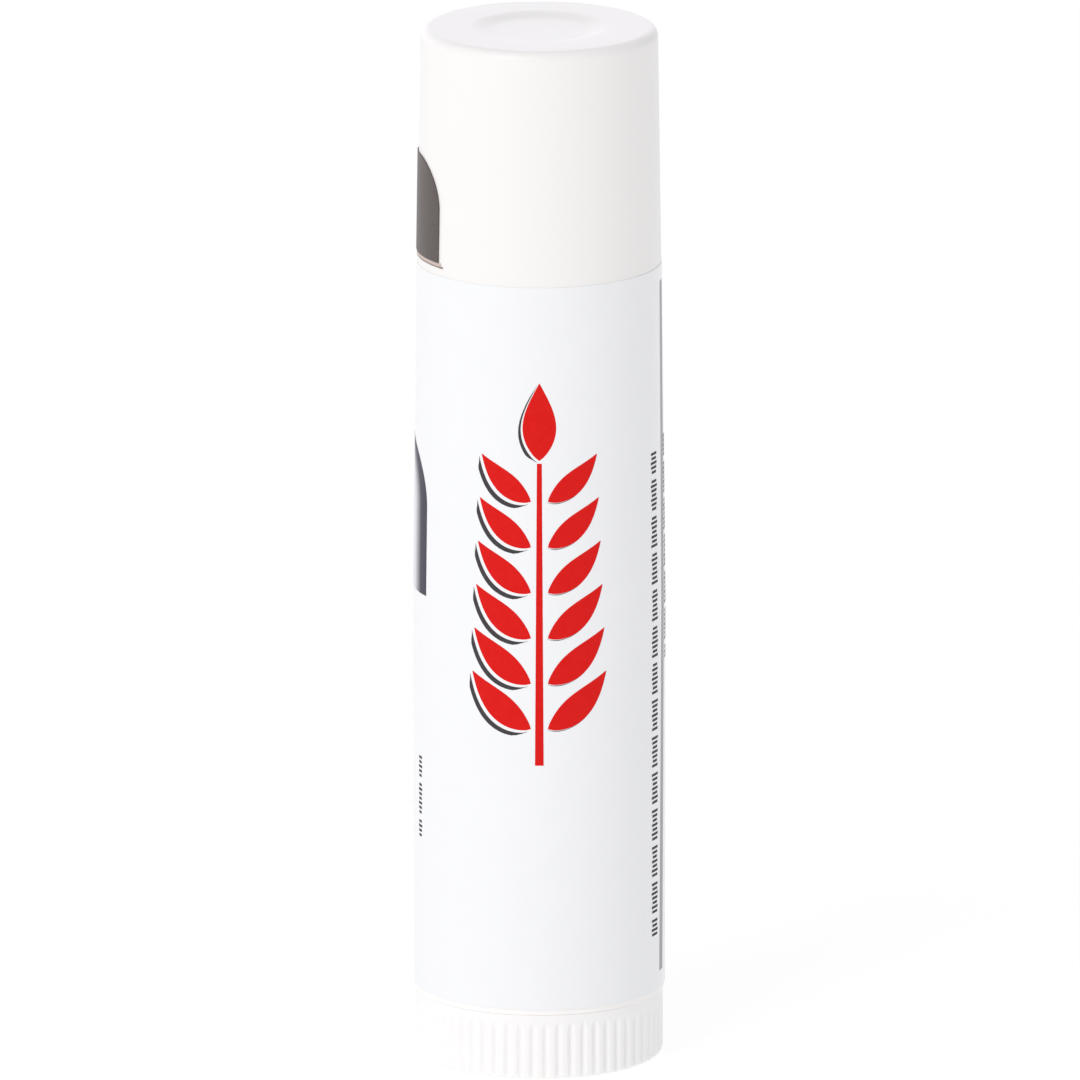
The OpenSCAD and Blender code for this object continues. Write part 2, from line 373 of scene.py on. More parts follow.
# Grey of the painted shadow along the label's edge
EDGE_SHADOW_PAINT = PrintedInk("painted_shadow_grey", "a4a2a8", "abaaaf")
FINE_INK = PrintedInk("ink_fine_grey", "26262a", "323236")
TAB_FILM = PrintedInk("tab_warm_grey", "5b5350", "625a57")
TAB_TEAR = PrintedInk("tab_pale_tear", "cbbab2", "d2c3bc")
TAB_LINE_BROWN = PrintedInk("tab_brown_line", "96837b", "a08f88")


# Surfaces


@dataclass
class Shell:
    """A closed surface as points and faces, before it becomes a mesh."""

    points: np.ndarray
    faces: list[tuple[int, ...]]

    def volume(self) -> float:
        """Sums a sixth of the triple products of each face's fan of triangles.

        Returns:
            The volume, which is positive if the faces point outwards.
        """
        total = 0.0
        for corners in {len(face) for face in self.faces}:
            index = np.array([face for face in self.faces if len(face) == corners])
            first = self.points[index[:, 0]]
            for step in range(1, corners - 1):
                second, third = self.points[index[:, step]], self.points[index[:, step + 1]]
                total += float(np.sum(first * np.cross(second, third))) / 6
        return total

    def outward(self) -> "Shell":
        """The same shell with its faces turned to point outwards."""
        return self if self.volume() >= 0 else Shell(self.points, [face[::-1] for face in self.faces])


def faces_of(*parts: np.ndarray) -> list[tuple[int, ...]]:
    """Lists the rows of arrays of corner numbers as faces."""
    return [tuple(face) for part in parts for face in part.tolist()]


def joined(shells: Sequence[Shell]) -> Shell:
    """Puts several closed shells into one, without welding them.

    Args:
        shells: the shells.

    Returns:
        One shell that holds them all, each pointing outwards.
    """
    points: list[np.ndarray] = []
    faces: list[tuple[int, ...]] = []
    start = 0
    for shell in (one.outward() for one in shells):
        points.append(shell.points)
        faces.extend(tuple(start + i for i in face) for face in shell.faces)
        start += len(shell.points)
    return Shell(np.concatenate(points), faces)


def grid_quads(rows: int, columns: int, wrap_rows: bool, wrap_columns: bool) -> np.ndarray:
    """Corner numbers of the quads of a grid whose point (i, j) has number i * columns + j.

    Args:
        rows: number of rows of points.
        columns: number of points in a row.
        wrap_rows: whether the last row joins the first.
        wrap_columns: whether each row closes on itself.

    Returns:
        An array of four corner numbers for each quad.
    """
    i, j = np.meshgrid(np.arange(rows if wrap_rows else rows - 1),
                       np.arange(columns if wrap_columns else columns - 1), indexing="ij")
    below, right = (i + 1) % rows, (j + 1) % columns
    corners = [i * columns + j, i * columns + right, below * columns + right, below * columns + j]
    return np.stack([corner.ravel() for corner in corners], axis=1)


def turned(radius: np.ndarray, height: np.ndarray) -> Shell:
    """Surface of revolution whose radius may also change with the angle.

    Point (i, j) is (r cos a, r sin a, z) with r = radius[i, j], z = height[i] and
    a = 2 pi j / columns. An outline that starts and ends on the axis gets a fan at each
    pole, and any other outline closes on itself as a ring.

    Args:
        radius: distance from the axis, one row for each point of the outline.
        height: height of each point of the outline, as a column.

    Returns:
        The closed shell.
    """
    rows, columns = radius.shape
    angle = TURN * np.arange(columns) / columns
    level = np.broadcast_to(height, radius.shape)
    points = np.stack([radius * np.cos(angle), radius * np.sin(angle), level], axis=2)
    if radius[0].max() >= ON_AXIS:
        return Shell(points.reshape(-1, 3), faces_of(grid_quads(rows, columns, True, True)))
    rings = rows - 2
    ring = np.arange(columns)
    after = (ring + 1) % columns
    last = (rings - 1) * columns
    low_fan = np.stack([np.full(columns, rings * columns), after, ring], axis=1)
    high_fan = np.stack([np.full(columns, rings * columns + 1), last + ring, last + after], axis=1)
    flat = np.concatenate([points[1:-1].reshape(-1, 3), points[:1, 0], points[-1:, 0]])
    return Shell(flat, faces_of(grid_quads(rings, columns, False, True), low_fan, high_fan))


def rounded(corners_mm: Sequence[tuple[float, float, float]], closed: bool = False,
            steps: int = 8) -> np.ndarray:
    """Outline whose corners are rounded by arcs tangent to both sides.

    At a corner P with unit vectors p and q to its neighbours and the angle t between them, the
    arc of radius f touches the sides f / tan(t / 2) from P, and its centre lies f / sin(t / 2)
    from P along p + q. Support points just outside each arc keep the shading of long sides flat.

    Args:
        corners_mm: radius, height and rounding of each corner, in millimetres.
        closed: whether the last corner joins the first.
        steps: quads along each arc.

    Returns:
        Rows of radius and height, in metres.
    """
    support = 0.04 * MM
    corners = np.array(corners_mm) * MM
    share = np.linspace(0, 1, steps + 1)[:, None]
    rows: list[np.ndarray] = []
    for i, rounding in enumerate(corners[:, 2]):
        corner = corners[i, :2]
        if rounding <= 0 or (not closed and i in (0, len(corners) - 1)):
            rows.append(corner[None, :])
            continue
        before = corners[i - 1, :2] - corner
        after = corners[(i + 1) % len(corners), :2] - corner
        p, q = before / np.linalg.norm(before), after / np.linalg.norm(after)
        half = math.acos(float(np.clip(p @ q, -1, 1))) / 2
        tangent = rounding / math.tan(half)
        centre = corner + (p + q) / np.linalg.norm(p + q) * rounding / math.sin(half)
        start, end = corner + p * tangent - centre, corner + q * tangent - centre
        sweep = math.pi - 2 * half
        arc = (np.sin((1 - share) * sweep) * start + np.sin(share * sweep) * end) / math.sin(sweep)
        rows += [(corner + p * (tangent + support))[None, :], centre + arc,
                 (corner + q * (tangent + support))[None, :]]
    return np.concatenate(rows)


def smooth_step(x: np.ndarray) -> np.ndarray:
    """Smooth rise from 0 at x = 0 to 1 at x = 1, as 3 x^2 - 2 x^3."""
    x = np.clip(x, 0, 1)
    return x * x * (3 - 2 * x)


def rib_profile(columns: int, radius: float, ribs: int, width_mm: float, flank_mm: float) -> np.ndarray:
    """Share of a rib's height at each column of a turned grid, with ribs spread evenly from +X.

    With s the distance along the wall to the middle of the nearest rib, it is the smooth step
    of (width / 2 - s) / flank + 1 / 2.

    Args:
        columns: points round the axis.
        radius: the wall's radius, in metres.
        ribs: number of ribs.
        width_mm: width of a rib.
        flank_mm: width of its flank.

    Returns:
        One share for each column, from 0 between the ribs to 1 on them.
    """
    angle = TURN * np.arange(columns) / columns
    spread = TURN / ribs
    distance = radius * np.abs((angle + spread / 2) % spread - spread / 2)
    return smooth_step((width_mm / 2 * MM - distance) / (flank_mm * MM) + 0.5)


@dataclass
class Wall:
    """Outside of a turned wall, in metres: straight up to bend_z, and a cone from there to top_z."""

    low_r: float
    top_r: float
    bend_z: float
    top_z: float

    def radius(self, z: np.ndarray) -> np.ndarray:
        """Radius at a height: low_r up to the bend, then on a straight line to top_r."""
        share = np.maximum(z - self.bend_z, 0) / (self.top_z - self.bend_z)
        return self.low_r + (self.top_r - self.low_r) * share

    def outside(self, thickness: float) -> "Wall":
        """The same wall with a layer of the given thickness on it."""
        return Wall(self.low_r + thickness, self.top_r + thickness, self.bend_z, self.top_z)


def film(across: np.ndarray, up: np.ndarray, side_degrees: float, wall: Wall,
         lift_mm: float, thickness_mm: float) -> Shell:
    """Thin film wrapped on a wall: a grid of points across and up it, given a thickness.

    A point s across and z up lies at the angle s / r from the film's middle, where r is the
    wall's radius at z plus the lift; the outer layer is one thickness further out, and a rim
    joins the two layers.

    Args:
        across: distance round the wall from the film's middle, in metres, towards +X at the front.
        up: height, in the same grid.
        side_degrees: where the middle lies, from the front, negative towards -X.
        wall: the wall that carries the film.
        lift_mm: gap between the wall and the film.
        thickness_mm: the film's thickness.

    Returns:
        The closed shell.
    """
    base = wall.radius(up) + lift_mm * MM
    angle = math.radians(side_degrees) + across / base
    layers = [np.stack([radius * np.sin(angle), -radius * np.cos(angle), up], axis=2).reshape(-1, 3)
              for radius in (base, base + thickness_mm * MM)]
    quads = grid_quads(*across.shape, False, False)
    number = np.arange(across.size).reshape(across.shape)
    rim = np.concatenate([number[0, :-1], number[:-1, -1], number[-1, :0:-1], number[:0:-1, 0]])
    after = np.roll(rim, -1)
    sides = np.stack([rim + across.size, after + across.size, after, rim], axis=1)
    return Shell(np.concatenate(layers), faces_of(quads[:, ::-1], quads + across.size, sides))


def ink(across: np.ndarray, up: np.ndarray, side_degrees: float, skin: Wall) -> Shell:
    """A print on the label's outside: a very thin film there, with the same arguments."""
    return film(across, up, side_degrees, skin, INK_LIFT, INK_THICK)


def arch_grid(half: float, corner: float, low: float, top: float) -> Grid:
    """Grid of an upright panel with two rounded upper corners, or a half circle if they meet.

    Columns are spread as a sine, so that the steep ends get more of them. Where a column lies d
    into a corner of radius c, the panel's top is lowered by c - sqrt(c^2 - d^2).

    Args:
        half: half of the panel's width.
        corner: radius of its upper corners.
        low: height of its foot.
        top: height of its top.

    Returns:
        The distances across and the heights.
    """
    rows, columns = 33, 65
    across = half * np.sin(np.linspace(-math.pi / 2, math.pi / 2, columns))
    into = np.clip(np.abs(across) - (half - corner), 0, corner)
    crown = top - corner + np.sqrt(corner ** 2 - into ** 2)
    share = np.linspace(0, 1, rows)[:, None]
    return np.repeat(across[None, :], rows, axis=0), low + share * (crown[None, :] - low)


def bar_grid(width: float, height: float, middle_up: float, step: float = 0.4 * MM) -> Grid:
    """Grid of a level bar.

    Args:
        width: its width.
        height: its height.
        middle_up: the height of its middle.
        step: the most that two columns are apart.

    Returns:
        The distances across and the heights.
    """
    across = np.linspace(-width / 2, width / 2, int(width / step) + 2)
    up = np.linspace(middle_up - height / 2, middle_up + height / 2, 2)
    return tuple(np.meshgrid(across, up))


# Pieces


def new_object(name: str, data: bpy.types.ID) -> bpy.types.Object:
    """Makes an object and puts it in the scene.

    Args:
        name: the object's name.
        data: its mesh, lamp or camera.

    Returns:
        The object, at the origin.
    """
    made = bpy.data.objects.new(name, data)
    bpy.context.scene.collection.objects.link(made)
    return made


def add_piece(name: str, shell: Shell, finish: Finish, body: Body, slot: Slot, *nodes: str,
              sharp_degrees: float = 35) -> None:
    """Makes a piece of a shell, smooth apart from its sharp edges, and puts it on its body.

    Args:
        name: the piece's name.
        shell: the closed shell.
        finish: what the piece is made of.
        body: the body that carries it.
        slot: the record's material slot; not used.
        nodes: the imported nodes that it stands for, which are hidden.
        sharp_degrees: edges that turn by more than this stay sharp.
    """
    outward = shell.outward()
    mesh = bpy.data.meshes.new(name)
    mesh.from_pydata(outward.points.tolist(), [], outward.faces)
    mesh.materials.append(finish.material())
    mesh.shade_smooth()
    mesh.set_sharp_from_angle(angle=math.radians(sharp_degrees))
    mesh.update()
    piece = new_object(name, mesh)
    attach(piece, body.value)
    if nodes:
        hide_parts(*nodes)
    log.info("%s rides on %s, %d faces", name, body.value, len(mesh.polygons))


def outer_radius(node: str) -> float:
    """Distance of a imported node's front from the axis."""
    return -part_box(node)[0].y


def reach(node: str) -> tuple[float, float]:
    """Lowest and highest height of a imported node."""
    low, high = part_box(node)
    return low.z, high.z


# Sub-assemblies


@dataclass
class Barrel:
    """The white tube: straight and then tapered outside, with a recess for the dial, a floor with the
    screw's hole, the bored neck with its snap bead, and the guide ribs in the bore. Millimetres."""

    taper: float = 0.46
    straight: float = 25.5
    bead: float = 0.12
    bead_rise: float = 2.6
    bead_w: float = 0.9
    bead_crest: float = 0.3
    bead_edge: float = 0.12
    neck_wall: float = 0.8
    balm_gap: float = 0.08
    hole: float = 2.55
    hole_edge: float = 0.05
    floor_low: float = 5.46
    floor_top: float = 6.86
    corner: float = 0.1
    mouth_edge: float = 0.25
    # Depth of the guide ribs' upper ends below the mouth, and the height over which they end
    guide_stop: float = 3.98
    guide_end: float = 0.5
    cap_gap: float = 0.08

    def __post_init__(self) -> None:
        """Takes the barrel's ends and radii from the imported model."""
        self.low_z, self.mouth_z = reach("barrel")
        self.shoulder_z = reach("cap")[0] - self.cap_gap * MM
        self.bore_r = outer_radius("balm") + self.balm_gap * MM
        self.neck_r = self.bore_r + self.neck_wall * MM
        low_r = outer_radius("barrel")
        bend_z = self.low_z + self.straight * MM
        self.side = Wall(low_r, low_r - self.taper / 2 * MM, bend_z, self.shoulder_z)

    def outline(self) -> np.ndarray:
        """Outline of the wall, from the screw's hole round the outside to the bore.

        Returns:
            Rows of radius and height.
        """
        low, shoulder, mouth = self.low_z / MM, self.shoulder_z / MM, self.mouth_z / MM
        neck, bore = self.neck_r / MM, self.bore_r / MM
        outer, bead_r = self.side.low_r / MM, neck + self.bead
        bead_z, stop = shoulder + self.bead_rise, mouth - self.guide_stop
        return rounded([
            (self.hole, self.floor_low, self.hole_edge), (neck, self.floor_low, self.corner),
            (neck, low, 0), (outer, low, 0), (outer, self.side.bend_z / MM, 0),
            (self.side.top_r / MM, shoulder, 0), (neck, shoulder, self.corner),
            (neck, bead_z - self.bead_w / 2, self.corner),
            (bead_r, bead_z - self.bead_crest / 2, self.bead_edge),
            (bead_r, bead_z + self.bead_crest / 2, self.bead_edge),
            (neck, bead_z + self.bead_w / 2, self.corner),
            (neck, mouth, self.mouth_edge), (bore, mouth, self.mouth_edge),
            (bore, stop, 0), (bore, stop - self.guide_end, 0),
            (bore, self.floor_top, self.corner), (self.hole, self.floor_top, self.hole_edge)], closed=True)

    def shell(self) -> Shell:
        """Turns the outline into a ring, then raises the guide ribs on the bore's rows.

        Returns:
            The closed shell.
        """
        radius, height = np.split(self.outline(), 2, axis=1)
        rib = rib_profile(3 * ROUND, self.bore_r, GUIDES, GUIDE_W, GUIDE_FLANK)
        in_bore = np.abs(radius - self.bore_r) < ON_WALL * MM
        below_stop = height < self.mouth_z - (self.guide_stop + self.guide_end / 2) * MM
        above_floor = height > (self.floor_top + self.corner / 2) * MM
        return turned(radius - GUIDE_H * MM * rib * (in_bore & below_stop & above_floor), height)

    def build(self) -> None:
        """Builds and dresses the tube."""
        add_piece("barrel_tube", self.shell(), BARREL_PLASTIC, Body.BARREL, Slot.BARREL, "barrel")


@dataclass
class Leaf:
    """One leaf of the printed sprig, lying flat on the unrolled label. Sizes in millimetres.

    Its middle line starts at the stem and bends evenly; its half width at a share t of its length
    is the widest half width times sin(pi t^fullness), and never less than the tip's.
    """

    start: tuple[float, float]
    lean_degrees: float
    length: float
    half_width: float
    bend_degrees: float
    fullness: float = 0.8
    tip_half: float = 0.02
    rows: int = 25

    def outline(self) -> tuple[np.ndarray, np.ndarray, np.ndarray]:
        """Middle line, its sideways normals and the half widths.

        Returns:
            Points (rows, 2), unit normals (rows, 2) and half widths (rows, 1).
        """
        t = np.linspace(0, 1, self.rows)[:, None]
        heading = np.radians(self.lean_degrees + self.bend_degrees * (t - 0.5))
        direction = np.hstack([np.sin(heading), np.cos(heading)])
        steps = (direction[1:] + direction[:-1]) / 2 * self.length / (self.rows - 1)
        walk = np.concatenate([np.zeros((1, 2)), np.cumsum(steps, axis=0)])
        normal = np.hstack([direction[:, 1:], -direction[:, :1]])
        width = self.half_width * np.sin(math.pi * t ** self.fullness) + self.tip_half
        return np.array(self.start) + walk, normal, width


@dataclass
class Sprig:
    """The print on the front: a plain upright sprig of paired leaves in red, each with a thin slate
    shade to its lower left. Millimetres."""

    middle_z: float = 33.2
    height: float = 25.0
    pairs: int = 6
    # Height that isn't shared out among the pairs, and the lowest pair's height above the foot
    ends: float = 7.2
    lowest: float = 2.4
    leaf: float = 5.3
    leaf_half: float = 0.86
    leaf_off_stem: float = 0.55
    leaf_lean_degrees: float = 48
    leaf_bend_degrees: float = 26
    # Part of the lowest pair's size by which each pair is smaller than the one below it
    shrink: float = 0.035
    top_leaf: float = 5.0
    top_leaf_half: float = 1.05
    top_leaf_drop: float = 0.3
    stem_half: float = 0.24
    stem_over: float = 1.9
    shade_gap: float = 0.24
    shade_w: float = 0.3
    shade_least_w: float = 0.012
    shade_degrees: float = 225

    def __post_init__(self) -> None:
        """Works out the foot's height and the height that the pairs share."""
        self.foot = self.middle_z - self.height / 2
        self.shared = self.height - self.ends

    def leaves(self) -> list[Leaf]:
        """Lays out the pairs up the stem, shrinking a little towards the top, and the top leaf.

        Returns:
            The leaves.
        """
        leaves = []
        for i in range(self.pairs):
            size = 1 - self.shrink * i
            height = self.foot + self.lowest + self.shared / self.pairs * i
            for side in (-1, 1):
                leaves.append(Leaf(
                    (side * self.leaf_off_stem, height), side * self.leaf_lean_degrees, self.leaf * size,
                    self.leaf_half * size, -side * self.leaf_bend_degrees))
        crown = self.foot + self.lowest + self.shared - self.top_leaf_drop
        leaves.append(Leaf((0.0, crown), 0, self.top_leaf, self.top_leaf_half, 0))
        return leaves

    def leaf_film(self, leaf: Leaf, skin: Wall) -> Shell:
        """Red shape of one leaf: its middle line carried sideways by its half width.

        Args:
            leaf: the leaf.
            skin: the label's outside.

        Returns:
            The closed shell.
        """
        middle, normal, width = leaf.outline()
        share = np.linspace(-1, 1, 7)
        across = middle[:, :1] + normal[:, :1] * width * share
        up = middle[:, 1:] + normal[:, 1:] * width * share
        return ink(across * MM, up * MM, 0, skin)

    def shade_film(self, leaf: Leaf, skin: Wall) -> Shell:
        """Slate shade of one leaf: a line beside the edge that faces the shade's direction.

        The line's distance from the edge and its width are both in proportion to how squarely
        the edge faces that way, so that it tapers to nothing where the edge turns.

        Args:
            leaf: the leaf.
            skin: the label's outside.

        Returns:
            The closed shell.
        """
        middle, normal, width = leaf.outline()
        turn = math.radians(self.shade_degrees)
        away = np.array([math.sin(turn), math.cos(turn)])
        side = -1.0 if float(normal.mean(axis=0) @ away) < 0 else 1.0
        facing = np.clip(side * (normal @ away), 0, 1)[:, None]
        # Full width from an eighth of the leaf's length to as far from its tip
        from_start = np.linspace(0, 8, leaf.rows)[:, None]
        fade = smooth_step(np.minimum(from_start, from_start[::-1]))
        near = middle + side * normal * width + away * self.shade_gap * facing
        far = near + away * (self.shade_w * facing * fade + self.shade_least_w)
        share = np.linspace(0, 1, 3)
        across = near[:, :1] + (far[:, :1] - near[:, :1]) * share
        up = near[:, 1:] + (far[:, 1:] - near[:, 1:]) * share
        return ink(across * MM, up * MM, 0, skin)

    def stem_film(self, skin: Wall) -> Shell:
        """Red stem: a thin upright line whose half width falls evenly from its foot to its top.

        Args:
            skin: the label's outside.

        Returns:
            The closed shell.
        """
        share = np.linspace(0, 1, 40)[:, None]
        height = self.foot + (self.stem_over + self.shared) * share
        across = self.stem_half * (1.15 - 0.5 * share) * np.linspace(-1, 1, 3)
        return ink(across * MM, np.repeat(height, 3, axis=1) * MM, 0, skin)

    def build(self, skin: Wall) -> None:
        """Builds and dresses the red print and its shade.

        Args:
            skin: the label's outside.
        """
        leaves = self.leaves()
        red = joined([self.stem_film(skin)] + [self.leaf_film(leaf, skin) for leaf in leaves])
        slate = joined([self.shade_film(leaf, skin) for leaf in leaves])
        add_piece("print_sprig", red, RED_INK, Body.BARREL, Slot.LABEL)
        add_piece("print_sprig_shade", slate, SHADE_INK, Body.BARREL, Slot.LABEL)


@dataclass
class Label:
    """The wrapped film, what is printed on it and the painted shadow along its edge. Sizes in
    millimetres, angles from the front.
    """

    glue: float = 0.002
    thickness: float = 0.083
    top_margin: float = 0.0003
    slit: float = 0.5
    panel_w: float = 8.4
    panel_low: float = 30.67
    panel_top: float = 40.6
    panel_side: float = -93.9
    # How far the centre of the tone's arch lies behind the panel's own
    tone_back: float = 1.6
    # Painted shadow along the label's edge: its angles at the foot and the top, width and ends
    shadow_foot_side: float = 75.0
    shadow_top_side: float = 80.5
    shadow_w: float = 0.7
    shadow_low: float = 5.8
    shadow_top: float = 50.8
    tick_pitch: float = 0.3
    tick_h: float = 0.17
    # Angle, lower end, upper end and middling length of the ticks of each column
    tick_columns: tuple[tuple[float, float, float, float], ...] = (
        (66.5, 8.1, 40.2, 0.8), (85.5, 25.7, 40.8, 0.8), (-70.5, 14.4, 20.2, 0.5))

    def __post_init__(self) -> None:
        """Takes the film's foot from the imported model, and its top from the shoulder."""
        self.low_z = reach("label")[0]
        self.top_z = Barrel().shoulder_z - self.top_margin * MM

    def wrap(self, wall: Wall) -> Shell:
        """The film itself: a grid nearly all the way round, open at the back by its slit.

        Args:
            wall: the barrel's outside.

        Returns:
            The closed shell.
        """
        columns, rows = 2 * ROUND, 30
        heights = np.concatenate([np.linspace(self.low_z, wall.bend_z, rows),
                                  np.linspace(wall.bend_z, self.top_z, rows)[1:]])
        up = np.repeat(heights[:, None], columns, axis=1)
        half_turn = math.pi * (wall.radius(up) + self.glue * MM) - self.slit / 2 * MM
        return film(np.linspace(-1, 1, columns) * half_turn, up, 0, wall, self.glue, self.thickness)

    def panel(self, skin: Wall) -> tuple[Shell, InkWithPaintedGlare]:
        """The arched panel, and its ink with the tone laid out as the panel is seen from the side, pale
        behind the front edge as painted glare.

        Args:
            skin: the label's outside.

        Returns:
            The closed shell and its ink.
        """
        half, radius = self.panel_w / 2, skin.low_r / MM
        across, up = arch_grid(half * MM, half * MM, self.panel_low * MM, self.panel_top * MM)
        middle_y = -radius * math.cos(math.radians(self.panel_side))
        tone = replace(PANEL_INK, reach_mm=radius * math.sin(half / radius) + self.tone_back,
                       centre_y_mm=middle_y + self.tone_back, centre_z_mm=self.panel_top - half)
        return ink(across, up, self.panel_side, skin), tone

    def edge_shade_line(self, skin: Wall) -> Shell:
        """A thin upright grey line of painted shadow, where the label's edge would overlap, whose middle
        goes round evenly from its foot's angle to its top's.

        Args:
            skin: the label's outside.

        Returns:
            The closed shell.
        """
        rows = 70
        up = np.repeat(np.linspace(self.shadow_low, self.shadow_top, rows)[:, None] * MM, 3, axis=1)
        side = np.radians(np.linspace(self.shadow_foot_side, self.shadow_top_side, rows))[:, None]
        across = side * skin.radius(up) + self.shadow_w * MM * np.linspace(-0.5, 0.5, 3)
        return ink(across, up, 0, skin)

    def ticks(self, skin: Wall, side: float, low: float, top: float, width: float) -> list[Shell]:
        """A column of fine level ticks in uneven groups.

        Tick i is width (0.8 + 0.4 frac(0.618 i)) long and stands on the column's middle line, and
        after each group of 5 to 12 ticks one is left out.

        Args:
            skin: the label's outside.
            side: angle of the column's middle line.
            low: height of its lower end.
            top: height of its upper end.
            width: middling length of a tick.

        Returns:
            One shell for each tick.
        """
        shells = []
        left = 0
        for i in range(int((top - low) / self.tick_pitch)):
            if left == 0:
                left = 5 + i * 7 % 8
                continue
            left -= 1
            length = width * (0.8 + 0.4 * (0.618 * i % 1))
            across, up = bar_grid(length * MM, self.tick_h * MM, (top - self.tick_pitch * i) * MM)
            shells.append(ink(across, up, side, skin))
        return shells

    def build(self, barrel: Barrel) -> None:
        """Builds and dresses the film, its panel, the painted shadow along its edge, its fine ticks and
        the sprig on its front.

        Args:
            barrel: the tube that the film is wrapped on.
        """
        add_piece("label_wrap", self.wrap(barrel.side), LABEL_WHITE, Body.BARREL, Slot.LABEL, "label")
        skin = barrel.side.outside((self.glue + self.thickness) * MM)
        add_piece("print_panel", *self.panel(skin), Body.BARREL, Slot.LABEL)
        add_piece("shadow_of_label_edge", self.edge_shade_line(skin), EDGE_SHADOW_PAINT, Body.BARREL, Slot.LABEL)
        fine = joined([tick for column in self.tick_columns for tick in self.ticks(skin, *column)])
        add_piece("print_fine_ticks", fine, FINE_INK, Body.BARREL, Slot.LABEL)
        Sprig().build(skin)


@dataclass
class Dial:
    """The ribbed wheel at the foot, hollow below, with its spigot in the barrel. Millimetres."""

    ribs: int = 60
    groove: float = 0.13
    groove_half: float = 0.29
    band: float = 0.55
    # How much lower the ribs' flanks are than their middles
    rib_crown: float = 0.03
    height: float = 4.28
    top_edge: float = 0.03
    edge: float = 0.4
    foot_edge: float = 0.15
    rim: float = 1.4
    hub: float = 3.6
    pocket: float = 3.2
    pocket_edge: float = 0.2
    spigot_fit: float = 0.1
    spigot_foot_edge: float = 0.1
    spigot_top_edge: float = 0.2
    samples: int = 16

    def __post_init__(self) -> None:
        """Takes the dial's radius and its spigot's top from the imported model."""
        self.top_z = reach("dial")[1]
        self.radius = outer_radius("dial")
        self.groove_top = self.height - self.band

    def outline(self) -> np.ndarray:
        """Outline from the axis round the pocket and the ribbed wall to the spigot's top.

        The wall gets rows of its own, closer together where the grooves end.

        Returns:
            Rows of radius and height.
        """
        outer, top = self.radius / MM, self.top_z / MM
        inner, spigot = outer - self.rim, Barrel().neck_r / MM - self.spigot_fit
        below = rounded([
            (0, 0, 0), (self.hub, 0, self.foot_edge), (self.hub, self.pocket, self.pocket_edge),
            (inner, self.pocket, self.pocket_edge), (inner, 0, self.foot_edge),
            (outer, 0, self.edge), (outer, self.height, 0)])
        wall_z = np.concatenate([np.linspace(self.edge + 0.1, self.groove_top - 0.5, 14),
                                 np.linspace(self.groove_top - 0.45, self.groove_top + 0.1, 16)]) * MM
        wall = np.stack([np.full_like(wall_z, self.radius), wall_z], axis=1)
        above = rounded([
            (outer, self.groove_top, 0), (outer, self.height, self.top_edge),
            (spigot, self.height, self.spigot_foot_edge), (spigot, top, self.spigot_top_edge), (0, top, 0)])
        return np.concatenate([below[:-1], wall, above[1:]])

    def shell(self) -> Shell:
        """Turns the outline, then presses the grooves into the rows of its outer wall.

        A groove's depth across it is a cosine hill. Its half width shrinks as a quarter circle
        towards its upper end, so that each groove ends round, and fades out at the lower edge.

        Returns:
            The closed shell.
        """
        radius, height = np.split(self.outline(), 2, axis=1)
        z = height / MM
        # A rib, not a groove, faces straight to the front
        share = np.abs(np.arange(self.ribs * self.samples) / self.samples % 1 - 0.5)
        from_groove = share * TURN * self.radius / self.ribs
        round_end = np.clip((self.groove_top - z) / (2 * self.groove_half), 0, 1)
        half = self.groove_half * MM * np.sqrt(np.clip(1 - (1 - round_end) ** 2, 0, 1)) + ON_AXIS
        hill = np.where(from_groove < half, 0.5 + 0.5 * np.cos(math.pi * from_groove / half), 0)
        crown = (from_groove / from_groove.max() - 1) ** 2
        depth = (self.groove * hill * np.sqrt(round_end) + self.rib_crown * crown * round_end) * MM
        on_wall = (radius > self.radius - 0.25 * MM) & (z < self.groove_top)
        return turned(radius - depth * smooth_step(z / self.edge) * on_wall, height)

    def build(self) -> None:
        """Builds and dresses the wheel."""
        add_piece("dial_wheel", self.shell(), DIAL_PLASTIC, Body.DIAL, Slot.DIAL, "dial", sharp_degrees=50)


